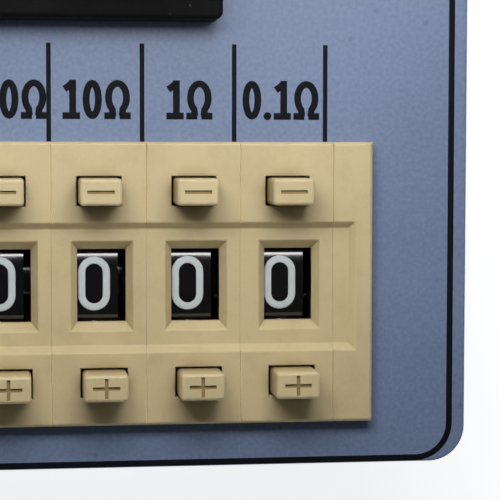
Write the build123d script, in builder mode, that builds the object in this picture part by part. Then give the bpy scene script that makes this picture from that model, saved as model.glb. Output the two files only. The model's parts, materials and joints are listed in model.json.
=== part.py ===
"""Hand-held resistance decade box with seven push-wheel decades, lying on its back.

+X is to the right of the panel, +Y towards its top end and +Z out of its face.
The origin is on the surface that the feet rest on, under the middle of the case.
All sizes are in millimetres.
"""

from build123d import *
from math import cos, radians, sin
import os

os.makedirs("parts", exist_ok=True)

# Case
case_width = 80.0
case_length = 140.0
case_corner = 3.1
case_wall = 2.2
panel_height = 42.0
plate_thickness = 0.8
plate_edge = 0.25
shell_face = 2.0
cover_height = 17.0
cover_floor = 2.4
cover_edge = 2.0
joint_groove = 0.35
lip_thickness = 1.0
lip_height = 1.5
lip_clearance = 0.1

# Feet and case screws
foot_height = 2.0
foot_radius = 5.0
foot_recess = 0.6
foot_inset_x = 13.0
foot_inset_y = 20.0
screw_inset_x = 5.9
screw_inset_y = 7.0
screw_radius = 1.5
screw_head_radius = 2.8
screw_head_height = 2.0
screw_bite = 8.0
screw_play = 0.2
thread_play = 0.03
pillar_radius = 3.4
screw_seat = 3.4

# Switch bank
decades = 7
bank_inset = 8.6
module_seam = 0.02
bank_height = 24.0
bank_margin = 3.9
bezel_rise = 1.6
bezel_edge = 0.2
seam_edge = 0.06
bezel_lap = 1.0
spring_room = 7.9
cutout_clearance = 0.1
wall_side = 0.9
wall_rim = 1.25
wall_back = 0.9
front_depth = 1.0

# Recessed band and windows of the bank
recess_depth = 0.6
recess_slope = 42.0
recess_top = 6.8
recess_foot = 6.2
recess_end = 1.45
window_left = 2.18
window_right = 1.68
window_drop = 0.25
window_margin = 2.4
window_bevel_x = 0.58
window_bevel_y = 0.72
window_depth = 0.85

# Number wheels
wheel_edge = 0.8
wheel_sides = 10
wheel_sink = 0.5
wheel_end_gap = 0.6
wheel_side_gap = 0.73
wheel_web = 1.2
wheel_rim = 1.5
wheel_hub = 3.0
wheel_clearance = 0.15
axle_radius = 1.5
axle_play = 0.05
star_tip_radius = 5.2
star_root_radius = 4.3
star_thickness = 0.64

# Keys
minus_key_rim = 2.24
plus_key_rim = 2.14
key_height = 2.25
key_rise = 5.3
key_edge = 0.3
key_side_play = 0.12
key_end_play = 0.12
key_travel = 2.5
minus_key_drop = 4.15
plus_key_lift = 3.66
plus_key_shift = 0.4
key_relief = 0.3
flange_gap_left = 0.68
flange_gap_right = 0.15
flange_thickness = 0.7
flange_play = 0.05
arm_thickness = 0.5
arm_gap = 0.24
arm_width = 1.9
arm_play = 0.1
pawl_clearance = 0.25
pawl_root_top = 5.0
pawl_root_bottom = 3.4
pawl_tip_top = 1.6
pawl_tip_bottom = 0.9
pad_gap = 0.7
pad_thickness = 0.8
pad_width = 3.9

# Springs and contacts
bow_thickness = 0.25
bow_width = 2.6
bow_gap = 0.02
detent_thickness = 0.25
detent_width = 0.45
detent_gap = 0.1
detent_overhang = 1.0
detent_rise = 4.0
detent_tail_length = 1.3
detent_tail_drop = 1.4
detent_bends = (0.6, 0.8, 0.2)
wiper_thickness = 0.2
wiper_radius = 4.1
wiper_play = 0.1
nib_radius = 0.45
nib_count = 3
nib_height = 0.35
board_thickness = 0.8
board_ledge = 0.35
board_sink = 0.23
board_tail = 3.4
board_tail_width = 17.0
board_play = 0.05
board_gap = 0.1
board_hole_play = 0.1

# End plates and tie screws
end_width = 3.4
end_overlap = 1.3
tongue_width = 8.0
tongue_slot = 0.7
tongue_length = 14.0
barb_rise = 0.8
barb_height = 2.4
barb_gap = 0.05
tie_radius = 1.0
tie_spread = 3.2
tie_height = 3.5
tie_boss = 1.9
tie_head_radius = 1.9
tie_head_height = 1.1

# Terminal block and posts
block_gap = 10.15
block_width = 36.4
block_length = 22.0
block_rise = 4.2
block_edge = 0.4
block_corner = 0.6
post_spacing = 19.05
spigot_radius = 4.5
spigot_play = 0.1
stud_radius = 3.0
stud_tail_radius = 2.0
stud_tail = 12.0
stud_rise = 15.2
collar_radius = 4.6
collar_height = 1.2
socket_radius = 2.0
socket_depth = 10.5
socket_edge = 0.35
wire_hole_radius = 1.2
wire_hole_seat = 0.4
washer_height = 1.0
key_flat = 0.5
post_play = 0.06
cap_radius = 6.0
cap_height = 13.4
cap_skirt_height = 2.0
cap_edge = 0.6
cap_flutes = 12
cap_flute_radius = 0.8
cap_flute_offset = 0.27
lug_thickness = 0.5
lug_radius = 3.6
lug_length = 8.0
lug_width = 2.6
nut_across = 7.0
nut_height = 2.6

# Resistor board and wiring
pcb_side_gap = 7.0
pcb_top_gap = 24.0
pcb_thickness = 1.6
pcb_height = 12.2
standoff_radius = 2.6
standoff_inset = 5.0
resistor_width = 8.0
resistor_depth = 2.6
resistor_height = 7.5
resistor_corner = 0.5
resistor_rows = 4
resistor_margin_x = 6.0
resistor_margin_y = 14.5
ribbon_thickness = 0.8
ribbon_rise = 4.0
ribbon_span = 11.6
ribbon_legs = 5
lead_radius = 0.7
lead_bend = 4.0
lead_lap = 3.0
lead_column = 1.5
wire_gap = 0.05

# Places worked out from the sizes above
module_pitch = (case_width - 2 * (bank_inset + end_width)) / decades
module_width = module_pitch - module_seam
module_places = [(i - (decades - 1) / 2) * module_pitch for i in range(decades)]
bank_half = decades * module_pitch / 2
bank_top = -case_length / 2 + bank_margin + bank_height
bank_y = bank_top - bank_height / 2
body_height = bank_height - 2 * bezel_lap
cavity_half = body_height / 2 - wall_rim
wall_inside = -module_width / 2 + wall_side
board_left = module_width / 2 - board_sink - board_thickness
wiper_left = board_left - wiper_play - nib_height - wiper_thickness
wheel_left = wall_inside + wheel_side_gap
wheel_right = wiper_left - star_thickness
wheel_width = wheel_right - wheel_left
wheel_reach = cavity_half - wheel_end_gap
wheel_apothem = wheel_reach * cos(radians(180 / wheel_sides))
wheel_z = -wheel_sink - wheel_apothem
cavity_radius = wheel_reach + wheel_clearance
cavity_floor = wheel_z - wheel_reach - spring_room
body_depth = wall_back - cavity_floor
recess_height = bank_height - recess_top - recess_foot
recess_y = (recess_foot - recess_top) / 2
window_shift = (window_left - window_right) / 2
window_width = module_width - window_left - window_right
window_height = recess_height - 2 * window_margin
window_y = recess_y + window_drop / 2
minus_key_width = module_width - 2 * minus_key_rim
plus_key_width = module_width - 2 * plus_key_rim
minus_key_y = bank_height / 2 - minus_key_drop
plus_key_y = plus_key_lift - bank_height / 2
key_forms = [(0, minus_key_y, minus_key_width), (plus_key_shift, plus_key_y, plus_key_width)]
flange_left = wall_inside + flange_gap_left
flange_right = board_left - flange_gap_right
arm_left = wheel_right + arm_gap
arm_right = arm_left + arm_thickness
arm_bottom = wheel_z - wheel_reach - pad_gap
pad_bottom = arm_bottom - pad_thickness
board_half = cavity_half + board_ledge
tie_z = cavity_floor + tie_height - wall_back
tie_places = [(-tie_spread, tie_z), (tie_spread, tie_z)]
block_y = bank_top + block_gap + block_length / 2
block_top = panel_height + block_rise
shell_top = panel_height - plate_thickness
shell_under = shell_top - shell_face
post_places = [(-post_spacing / 2, block_y), (post_spacing / 2, block_y)]
pcb_start = bank_y + board_tail_width / 2 + ribbon_span
pcb_end = case_length / 2 - pcb_top_gap
pcb_width = case_width - 2 * pcb_side_gap
pcb_length = pcb_end - pcb_start
pcb_y = (pcb_start + pcb_end) / 2
resistor_pitch_x = (pcb_width - 2 * resistor_margin_x) / (decades - 1)
resistor_pitch_y = (pcb_length - 2 * resistor_margin_y) / (resistor_rows - 1)
screw_places = [
    (sx * (case_width / 2 - screw_inset_x), sy * (case_length / 2 - screw_inset_y))
    for sx in (-1, 1)
    for sy in (-1, 1)
]
foot_places = [
    (sx * (case_width / 2 - foot_inset_x), sy * (case_length / 2 - foot_inset_y))
    for sx in (-1, 1)
    for sy in (-1, 1)
]
standoff_places = [
    (sx * (pcb_width / 2 - standoff_inset), pcb_y + sy * (pcb_length / 2 - standoff_inset))
    for sx in (-1, 1)
    for sy in (-1, 1)
]


def face_plane(x, height):
    """Plane parallel to the panel, in the bank's middle line, height above the panel."""
    return Plane(origin=(x, bank_y, panel_height + height))


def side_plane(x):
    """Plane across the bank at x: its own x runs along +Y and its own y along +Z."""
    return Plane(origin=(x, bank_y, panel_height), x_dir=(0, 1, 0), z_dir=(1, 0, 0))


def save(part, name):
    part.label = name
    export_step(part, f"parts/{name}.step")


def recess_band(x, width):
    """Solid of the sloped band that is cut along the bezel, with x as its middle."""
    with BuildPart() as band:
        with BuildSketch(face_plane(x, bezel_rise)):
            with Locations((0, recess_y)):
                Rectangle(width, recess_height)
        extrude(amount=-recess_depth, taper=recess_slope)
    return band.part


# Face plate of the panel
with BuildPart() as front_panel:
    with BuildSketch(Plane.XY.offset(shell_top)):
        RectangleRounded(case_width, case_length, case_corner)
        with Locations((0, bank_y)):
            Rectangle(
                2 * (bank_half + end_width - end_overlap + cutout_clearance),
                body_height + 2 * cutout_clearance,
                mode=Mode.SUBTRACT,
            )
        with Locations(*post_places):
            Circle(spigot_radius + spigot_play, mode=Mode.SUBTRACT)
    extrude(amount=plate_thickness)
    rim = front_panel.faces().sort_by(Axis.Z)[-1].outer_wire().edges()
    fillet(rim, plate_edge)
save(front_panel.part, "front_panel")

# Upper half of the case, with its screw pillars
with BuildPart() as front_shell:
    with BuildSketch(Plane.XY.offset(cover_height)):
        RectangleRounded(case_width, case_length, case_corner)
    extrude(amount=shell_top - cover_height)
    bottom_rim = front_shell.faces().sort_by(Axis.Z)[0].outer_wire().edges()
    chamfer(bottom_rim, joint_groove)
    with BuildSketch(Plane.XY.offset(cover_height)):
        RectangleRounded(
            case_width - 2 * case_wall, case_length - 2 * case_wall, case_corner - case_wall
        )
    extrude(amount=shell_under - cover_height, mode=Mode.SUBTRACT)
    with BuildSketch(Plane.XY.offset(shell_under)):
        with Locations(*screw_places):
            Circle(pillar_radius)
    extrude(amount=cover_height + lip_height + lip_clearance - shell_under)
    with BuildSketch(Plane.XY.offset(cover_height + lip_height + lip_clearance)):
        with Locations(*screw_places):
            Circle(screw_radius + thread_play)
    extrude(amount=screw_bite + lip_height, mode=Mode.SUBTRACT)
    with BuildSketch(Plane.XY.offset(shell_under)):
        with Locations((0, bank_y)):
            Rectangle(
                2 * (bank_half + end_width - end_overlap + cutout_clearance),
                body_height + 2 * cutout_clearance,
            )
        with Locations(*post_places):
            Circle(spigot_radius + spigot_play)
    extrude(amount=shell_face, mode=Mode.SUBTRACT)
save(front_shell.part, "front_shell")

# Lower half of the case, with the lip that enters the upper half
with BuildPart() as rear_cover:
    with BuildSketch(Plane.XY.offset(foot_height)):
        RectangleRounded(case_width, case_length, case_corner)
    extrude(amount=cover_height - foot_height)
    fillet(rear_cover.faces().sort_by(Axis.Z)[0].outer_wire().edges(), cover_edge)
    chamfer(rear_cover.faces().sort_by(Axis.Z)[-1].outer_wire().edges(), joint_groove)
    with BuildSketch(Plane.XY.offset(cover_height)):
        RectangleRounded(
            case_width - 2 * (case_wall + lip_clearance),
            case_length - 2 * (case_wall + lip_clearance),
            case_corner - case_wall - lip_clearance,
        )
    extrude(amount=lip_height)
    with BuildSketch(Plane.XY.offset(foot_height + cover_floor)):
        Rectangle(
            case_width - 2 * (case_wall + lip_clearance + lip_thickness),
            case_length - 2 * (case_wall + lip_clearance + lip_thickness),
        )
    extrude(amount=cover_height + lip_height - foot_height - cover_floor, mode=Mode.SUBTRACT)
    with BuildSketch(Plane.XY.offset(foot_height + cover_floor)):
        with Locations(*screw_places):
            Circle(pillar_radius)
    extrude(amount=cover_height + lip_height - foot_height - cover_floor)
    with BuildSketch(Plane.XY.offset(foot_height + cover_floor)):
        with Locations(*standoff_places):
            Circle(standoff_radius)
    extrude(amount=pcb_height - foot_height - cover_floor)
    with Locations(*[Plane(origin=(x, y, foot_height), z_dir=(0, 0, -1)) for x, y in screw_places]):
        CounterBoreHole(
            radius=screw_radius + screw_play,
            counter_bore_radius=screw_head_radius + screw_play,
            counter_bore_depth=screw_seat,
        )
    with BuildSketch(Plane.XY.offset(foot_height)):
        with Locations(*foot_places):
            Circle(foot_radius + screw_play)
    extrude(amount=foot_recess, mode=Mode.SUBTRACT)
save(rear_cover.part, "rear_cover")

# Case screws, driven from the back
with BuildPart() as case_screws:
    with BuildSketch(Plane.XY.offset(foot_height + screw_seat - screw_head_height)):
        with Locations(*screw_places):
            Circle(screw_head_radius)
    extrude(amount=screw_head_height)
    with BuildSketch(Plane.XY.offset(foot_height + screw_seat)):
        with Locations(*screw_places):
            Circle(screw_radius)
    extrude(amount=cover_height + lip_height + screw_bite - foot_height - screw_seat)
save(case_screws.part, "case_screws")

with BuildPart() as rubber_feet:
    with BuildSketch():
        with Locations(*foot_places):
            Circle(foot_radius)
    extrude(amount=foot_height + foot_recess)
    chamfer(rubber_feet.edges().group_by(Axis.Z)[0], foot_recess)
save(rubber_feet.part, "rubber_feet")


def switch_housing(x):
    """Moulded housing of one decade: bezel, body, axle and the bosses for the tie screws."""
    band = recess_band(x, 2 * module_pitch)
    with BuildPart() as housing:
        with BuildSketch(face_plane(x, -body_depth)):
            Rectangle(module_width, body_height)
        extrude(amount=body_depth)
        with BuildSketch(face_plane(x, 0)):
            Rectangle(module_width, bank_height)
        extrude(amount=bezel_rise)
        top_edges = housing.faces().sort_by(Axis.Z)[-1].edges()
        chamfer(top_edges.filter_by(Axis.X), bezel_edge)
        chamfer(housing.faces().sort_by(Axis.Z)[-1].edges().filter_by(Axis.Y), seam_edge)
        add(band, mode=Mode.SUBTRACT)
        with BuildSketch(face_plane(x + window_shift, bezel_rise - recess_depth)):
            with Locations((0, window_y)):
                Rectangle(window_width + 2 * window_bevel_x, window_height + 2 * window_bevel_y)
        with BuildSketch(face_plane(x + window_shift, bezel_rise - recess_depth - window_depth)):
            with Locations((0, window_y)):
                Rectangle(window_width, window_height)
        loft(mode=Mode.SUBTRACT)
        with BuildSketch(face_plane(x + window_shift, -window_depth)):
            with Locations((0, window_y)):
                Rectangle(window_width, window_height)
        extrude(amount=bezel_rise, mode=Mode.SUBTRACT)
        for key_x, key_y, key_width in key_forms:
            with BuildSketch(face_plane(x + key_x, bezel_rise)):
                with Locations((0, key_y)):
                    Rectangle(key_width + 2 * key_side_play, key_height + 2 * key_end_play)
            extrude(amount=-bezel_rise - 2 * front_depth, mode=Mode.SUBTRACT)
        with BuildSketch(side_plane(x + wall_inside)):
            with Locations((0, (cavity_floor - front_depth) / 2)):
                Rectangle(2 * cavity_half, -front_depth - cavity_floor)
            with Locations((window_y, wheel_z)):
                Circle(cavity_radius)
        extrude(amount=module_width, mode=Mode.SUBTRACT)
        with BuildSketch(side_plane(x + board_left)):
            with Locations((0, -body_depth / 2 - front_depth)):
                Rectangle(2 * board_half, body_depth)
        extrude(amount=module_width, mode=Mode.SUBTRACT)
        with BuildSketch(side_plane(x + wall_inside)):
            with Locations((window_y, wheel_z)):
                Circle(axle_radius)
        extrude(amount=board_left + board_thickness - wall_inside)
        with BuildSketch(side_plane(x + wall_inside)):
            with Locations(*tie_places):
                Circle(tie_boss)
        extrude(amount=board_left - wall_inside)
        with BuildSketch(side_plane(x - module_pitch)):
            with Locations(*tie_places):
                Circle(tie_radius + thread_play)
        extrude(amount=2 * module_pitch, mode=Mode.SUBTRACT)
    return housing.part


def number_wheel(x):
    """Ten-sided wheel with its hub, rim, web and the star ring that the pawls turn."""
    star_points = [
        (radius * sin(radians(180 * i / wheel_sides)), radius * cos(radians(180 * i / wheel_sides)))
        for i, radius in enumerate((star_root_radius, star_tip_radius) * wheel_sides)
    ]
    with BuildPart() as wheel:
        with BuildSketch(side_plane(x + wheel_left)):
            with Locations((window_y, wheel_z)):
                RegularPolygon(wheel_apothem, wheel_sides, major_radius=False)
        extrude(amount=wheel_width)
        fillet(wheel.edges().filter_by(Axis.X), wheel_edge)
        with BuildSketch(side_plane(x + wheel_left)):
            with Locations((window_y, wheel_z)):
                Circle(wheel_apothem - wheel_rim)
                Circle(wheel_hub, mode=Mode.SUBTRACT)
        extrude(amount=wheel_width - wheel_web, mode=Mode.SUBTRACT)
        with BuildSketch(side_plane(x + wheel_right)):
            with Locations((window_y, wheel_z)):
                Polygon(*star_points, align=None)
        extrude(amount=star_thickness)
        with BuildSketch(side_plane(x + wheel_left)):
            with Locations((window_y, wheel_z)):
                Circle(axle_radius + axle_play)
        extrude(amount=wheel_width + star_thickness, mode=Mode.SUBTRACT)
    return wheel.part


def switch_key(x, key_x, key_y, key_width):
    """Key with its retaining flange, the arm beside the wheel, the pawl and the spring pad."""
    side = 1 if key_y > window_y else -1
    outside = side * (cavity_half - arm_play)
    inside = outside - side * arm_width
    flange_top = -front_depth - flange_play
    pawl_tip = window_y + side * (star_tip_radius + pawl_clearance)
    pad_middle = outside - side * pad_width / 2
    with BuildPart() as key:
        with BuildSketch(face_plane(x + key_x, key_rise)):
            with Locations((0, key_y)):
                Rectangle(key_width, key_height)
        extrude(amount=flange_top - flange_thickness - key_rise)
        fillet(key.edges().group_by(Axis.Z)[-1] + key.edges().filter_by(Axis.Z), key_edge)
        with BuildSketch(face_plane(x, flange_top)):
            with Locations(((flange_left + flange_right) / 2, (outside + key_y) / 2)):
                Rectangle(flange_right - flange_left, abs(outside - key_y))
        extrude(amount=-flange_thickness)
        with BuildSketch(side_plane(x + arm_left)):
            with Locations(((inside + outside) / 2, (flange_top + arm_bottom) / 2)):
                Rectangle(arm_width, flange_top - arm_bottom)
            with BuildLine():
                Polyline(
                    (inside, wheel_z + pawl_root_top),
                    (pawl_tip, wheel_z + pawl_tip_top),
                    (pawl_tip, wheel_z + pawl_tip_bottom),
                    (inside, wheel_z + pawl_root_bottom),
                    close=True,
                )
            make_face()
        extrude(amount=arm_thickness)
        with BuildSketch(face_plane(x, arm_bottom)):
            with Locations(((arm_right - bow_width / 2) / 2, pad_middle)):
                Rectangle(arm_right + bow_width / 2, pad_width)
        extrude(amount=-pad_thickness)
        with BuildSketch(side_plane(x - module_pitch / 2)):
            with Locations((window_y, wheel_z + key_travel)):
                Circle(wheel_reach + key_relief)
        extrude(amount=module_pitch / 2 + arm_left, mode=Mode.SUBTRACT)
    return key.part


def bow_springs(key_side):
    """Bow springs under the pads of one row of keys, one for each decade."""
    outside = key_side * (cavity_half - arm_play)
    radius = (pad_bottom - cavity_floor - bow_thickness) / 2
    straight = key_side * (tie_spread + tie_boss + bow_gap + bow_thickness / 2 + radius)
    middle = (pad_bottom + cavity_floor) / 2
    with BuildPart() as springs:
        for x in module_places:
            with BuildSketch(side_plane(x - bow_width / 2)):
                with BuildLine():
                    Line((outside, middle + radius), (straight, middle + radius))
                    ThreePointArc(
                        (straight, middle + radius),
                        (straight - key_side * radius, middle),
                        (straight, middle - radius),
                    )
                    Line((straight, middle - radius), (outside, middle - radius))
                trace(line_width=bow_thickness)
            extrude(amount=bow_width)
    return springs.part


def contact_wiper(x):
    """Rotor contact on the star ring, with three nibs that run on the contact board."""
    with BuildPart() as wiper:
        with BuildSketch(side_plane(x + wiper_left)):
            with Locations((window_y, wheel_z)):
                Circle(wiper_radius)
                Circle(axle_radius + wiper_play, mode=Mode.SUBTRACT)
        extrude(amount=wiper_thickness)
        with BuildSketch(side_plane(x + wiper_left + wiper_thickness)):
            with Locations((window_y, wheel_z)):
                with PolarLocations(wiper_radius - 2 * nib_radius, nib_count):
                    Circle(nib_radius)
        extrude(amount=nib_height)
    return wiper.part


housings = [switch_housing(x) for x in module_places]
wheels = [number_wheel(x) for x in module_places]
minus_keys = [switch_key(x, *key_forms[0]) for x in module_places]
plus_keys = [switch_key(x, *key_forms[1]) for x in module_places]
wipers = [contact_wiper(x) for x in module_places]
for number in range(decades):
    save(housings[number], f"switch_housing_{number + 1}")
    save(wheels[number], f"number_wheel_{number + 1}")
    save(minus_keys[number], f"minus_key_{number + 1}")
    save(plus_keys[number], f"plus_key_{number + 1}")
    save(wipers[number], f"contact_wiper_{number + 1}")
save(bow_springs(1), "minus_springs")
save(bow_springs(-1), "plus_springs")

# Leaf springs that hold each wheel on its digit, standing on the tie bosses
detent_foot = tie_z + tie_boss + detent_thickness / 2
detent_end = tie_spread + detent_overhang
detent_nose = wheel_z - star_root_radius - detent_gap - detent_thickness / 2
with BuildPart() as detent_springs:
    for x in module_places:
        with BuildSketch(side_plane(x + wheel_right + (star_thickness - detent_width) / 2)):
            with BuildLine():
                FilletPolyline(
                    (-detent_end, detent_foot),
                    (detent_end, detent_foot),
                    (detent_end, detent_nose - detent_rise),
                    (window_y, detent_nose),
                    (window_y - detent_tail_length, detent_nose - detent_tail_drop),
                    radius=detent_bends,
                )
            trace(line_width=detent_thickness)
        extrude(amount=detent_width)
save(detent_springs.part, "detent_springs")

# Contact boards, each closing the open side of its housing
with BuildPart() as contact_boards:
    for x in module_places:
        with BuildSketch(side_plane(x + board_left)):
            with Locations((0, -(front_depth + body_depth) / 2)):
                Rectangle(2 * (board_half - board_play), body_depth - front_depth - 2 * board_gap)
            with Locations((0, -body_depth + board_gap - board_tail / 2)):
                Rectangle(board_tail_width, board_tail)
            with Locations((window_y, wheel_z)):
                Circle(axle_radius + board_hole_play, mode=Mode.SUBTRACT)
            with Locations(*tie_places):
                Circle(tie_radius + board_hole_play, mode=Mode.SUBTRACT)
        extrude(amount=board_thickness)
save(contact_boards.part, "contact_boards")

# Right end plate, with its snap tongue and the pocket for the tie nuts
plate_left = bank_half + module_seam / 2
plate_body = end_width - end_overlap
recess_reach = end_width - recess_end
end_band = recess_band(bank_half - module_pitch, 2 * (recess_reach + module_pitch))
with BuildPart() as end_plate_right:
    with BuildSketch(side_plane(plate_left)):
        with Locations((0, -body_depth / 2)):
            Rectangle(body_height, body_depth)
    extrude(amount=plate_body - module_seam / 2)
    with BuildSketch(side_plane(plate_left)):
        with Locations((0, bezel_rise / 2)):
            Rectangle(bank_height, bezel_rise)
    extrude(amount=end_width - module_seam / 2)
    crown = end_plate_right.faces().sort_by(Axis.Z)[-1]
    chamfer(crown.edges().filter_by(Axis.X) + crown.edges().sort_by(Axis.X)[-1:], bezel_edge)
    add(end_band, mode=Mode.SUBTRACT)
    outer_face = bank_half + plate_body
    with BuildSketch(side_plane(outer_face)):
        for way in (-1, 1):
            with Locations((way * (tongue_width + tongue_slot) / 2, -body_depth + tongue_length / 2)):
                Rectangle(tongue_slot, tongue_length)
    extrude(amount=-end_width, mode=Mode.SUBTRACT)
    barb_top = -plate_thickness - shell_face - barb_gap
    tongue_end = -body_depth + tongue_length
    with BuildSketch(Plane(origin=(0, bank_y, panel_height), x_dir=(1, 0, 0), z_dir=(0, -1, 0))):
        with BuildLine():
            Polyline(
                (outer_face, barb_top),
                (outer_face + barb_rise, barb_top),
                (outer_face, barb_top - barb_height),
                close=True,
            )
        make_face()
    extrude(amount=tongue_width / 2, both=True)
    with BuildSketch(side_plane(outer_face)):
        with Locations(*tie_places):
            Circle(tie_head_radius + axle_play)
    extrude(amount=-tie_head_height, mode=Mode.SUBTRACT)
    with BuildSketch(side_plane(plate_left)):
        with Locations(*tie_places):
            Circle(tie_radius + thread_play)
    extrude(amount=end_width, mode=Mode.SUBTRACT)
save(end_plate_right.part, "end_plate_right")

with BuildPart() as end_plate_left:
    mirror(end_plate_right.part, about=Plane.YZ)
save(end_plate_left.part, "end_plate_left")

with BuildPart() as tie_screws:
    with BuildSketch(side_plane(-outer_face)):
        with Locations(*tie_places):
            Circle(tie_head_radius)
    extrude(amount=tie_head_height)
    with BuildSketch(side_plane(-outer_face)):
        with Locations(*tie_places):
            Circle(tie_radius)
    extrude(amount=2 * outer_face)
save(tie_screws.part, "tie_screws")

with BuildPart() as tie_nuts:
    with BuildSketch(side_plane(outer_face - tie_head_height)):
        with Locations(*tie_places):
            RegularPolygon(tie_head_radius, 6)
            Circle(tie_radius + thread_play, mode=Mode.SUBTRACT)
    extrude(amount=tie_head_height)
save(tie_nuts.part, "tie_nuts")

# Raised insulating block under the two binding posts
with BuildPart() as terminal_block:
    with BuildSketch(Plane.XY.offset(panel_height)):
        with Locations((0, block_y)):
            RectangleRounded(block_width, block_length, block_corner)
    extrude(amount=block_rise)
    fillet(terminal_block.faces().sort_by(Axis.Z)[-1].edges(), block_edge)
    with BuildSketch(Plane.XY.offset(panel_height)):
        with Locations(*post_places):
            Circle(spigot_radius)
    extrude(amount=shell_under - panel_height)
    with Locations(*[(x, y, panel_height) for x, y in post_places]):
        Hole(stud_radius + thread_play)
save(terminal_block.part, "terminal_block")

# Studs of the binding posts, with the socket, the wire hole and the flats for the washer
stud_seat = block_top + collar_height
stud_top = block_top + stud_rise
with BuildPart() as post_studs:
    with BuildSketch(Plane.XY.offset(shell_under - stud_tail)):
        with Locations(*post_places):
            Circle(stud_tail_radius)
    extrude(amount=stud_tail)
    with BuildSketch(Plane.XY.offset(shell_under)):
        with Locations(*post_places):
            Circle(stud_radius)
    extrude(amount=stud_top - shell_under)
    with BuildSketch(Plane.XY.offset(block_top)):
        with Locations(*post_places):
            Circle(collar_radius)
    extrude(amount=collar_height)
    with BuildSketch(Plane.XY.offset(stud_top)):
        with Locations(*post_places):
            Circle(socket_radius)
    extrude(amount=-socket_depth, mode=Mode.SUBTRACT)
    socket_rims = post_studs.faces().sort_by(Axis.Z)[-2:].edges().filter_by(GeomType.CIRCLE)
    chamfer(socket_rims.sort_by(SortBy.RADIUS)[:2], socket_edge)
    with BuildSketch(Plane.XY.offset(stud_seat)):
        with Locations(*[(x + stud_radius, y) for x, y in post_places]):
            Rectangle(2 * key_flat, 2 * stud_radius)
    extrude(amount=stud_rise, mode=Mode.SUBTRACT)
    with BuildSketch(Plane.XZ.offset(-block_y)):
        with Locations(*[(x, stud_seat + wire_hole_radius + wire_hole_seat) for x, y in post_places]):
            Circle(wire_hole_radius)
    extrude(amount=cap_radius, both=True, mode=Mode.SUBTRACT)
save(post_studs.part, "post_studs")


def clamp_washer(place):
    """Washer that the stud's flat keeps from turning, so that it only rises with the cap."""
    with BuildPart() as washer:
        with BuildSketch(Plane.XY.offset(stud_seat)):
            with Locations(place):
                Circle(collar_radius)
                Circle(stud_radius + post_play, mode=Mode.SUBTRACT)
            with Locations((place[0] + stud_radius + post_play, place[1])):
                Rectangle(2 * key_flat, 2 * stud_radius)
        extrude(amount=washer_height)
    return washer.part


def post_cap(place):
    """Fluted clamp cap with a round skirt, open at the top over the socket."""
    with BuildPart() as cap:
        with BuildSketch(Plane.XY.offset(stud_seat + washer_height)):
            with Locations(place):
                Circle(cap_radius)
        extrude(amount=cap_height)
        fillet(cap.faces().sort_by(Axis.Z)[-1].edges(), cap_edge)
        with BuildSketch(Plane.XY.offset(stud_seat + washer_height + cap_skirt_height)):
            with Locations(place):
                with PolarLocations(cap_radius + cap_flute_offset, cap_flutes):
                    Circle(cap_flute_radius)
        extrude(amount=cap_height, mode=Mode.SUBTRACT)
        with BuildSketch(Plane.XY.offset(stud_seat + washer_height)):
            with Locations(place):
                Circle(stud_radius + post_play)
        extrude(amount=cap_height, mode=Mode.SUBTRACT)
    return cap.part


for place, colour in zip(post_places, ("red", "black")):
    save(clamp_washer(place), f"clamp_washer_{colour}")
    save(post_cap(place), f"post_cap_{colour}")

with BuildPart() as solder_lugs:
    with BuildSketch(Plane.XY.offset(shell_under - lug_thickness)):
        with Locations(*post_places):
            Circle(lug_radius)
        with Locations(*[(x, y + lug_length / 2) for x, y in post_places]):
            Rectangle(lug_width, lug_length)
        with Locations(*post_places):
            Circle(stud_tail_radius + thread_play, mode=Mode.SUBTRACT)
    extrude(amount=lug_thickness)
save(solder_lugs.part, "solder_lugs")

with BuildPart() as post_nuts:
    with BuildSketch(Plane.XY.offset(shell_under - lug_thickness - nut_height)):
        with Locations(*post_places):
            RegularPolygon(nut_across / 2, 6, major_radius=False)
            Circle(stud_tail_radius + thread_play, mode=Mode.SUBTRACT)
    extrude(amount=nut_height)
save(post_nuts.part, "post_nuts")

# Board on the standoffs of the rear cover, with the resistors of all decades
with BuildPart() as resistor_board:
    with BuildSketch(Plane.XY.offset(pcb_height)):
        with Locations((0, pcb_y)):
            Rectangle(pcb_width, pcb_length)
    extrude(amount=pcb_thickness)
save(resistor_board.part, "resistor_board")

with BuildPart() as resistors:
    with BuildSketch(Plane.XY.offset(pcb_height + pcb_thickness)):
        with Locations((0, pcb_y)):
            with GridLocations(resistor_pitch_x, resistor_pitch_y, decades, resistor_rows):
                RectangleRounded(resistor_depth, resistor_width, resistor_corner)
    extrude(amount=resistor_height)
save(resistors.part, "resistors")

# Flat cable from the tails of the contact boards to the resistor board
ribbon_start = bank_y + board_tail_width / 2 + wire_gap
ribbon_end = pcb_start - wire_gap
ribbon_top = panel_height - body_depth + board_gap - board_tail / 2
ribbon_foot = pcb_height + pcb_thickness / 2
ribbon_crest = max(ribbon_top, ribbon_foot) + ribbon_rise
ribbon_step = (ribbon_end - ribbon_start) / ribbon_legs
with BuildPart() as ribbon_cable:
    with BuildSketch(Plane(origin=(-bank_half, 0, 0), x_dir=(0, 1, 0), z_dir=(1, 0, 0))):
        with BuildLine():
            FilletPolyline(
                (ribbon_start, ribbon_top),
                (ribbon_start + ribbon_step, ribbon_top),
                (ribbon_start + 2 * ribbon_step, ribbon_crest),
                (ribbon_end - 2 * ribbon_step, ribbon_crest),
                (ribbon_end - ribbon_step, ribbon_foot),
                (ribbon_end, ribbon_foot),
                radius=ribbon_step / 2,
            )
        trace(line_width=ribbon_thickness)
    extrude(amount=2 * bank_half)
save(ribbon_cable.part, "ribbon_cable")

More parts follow.
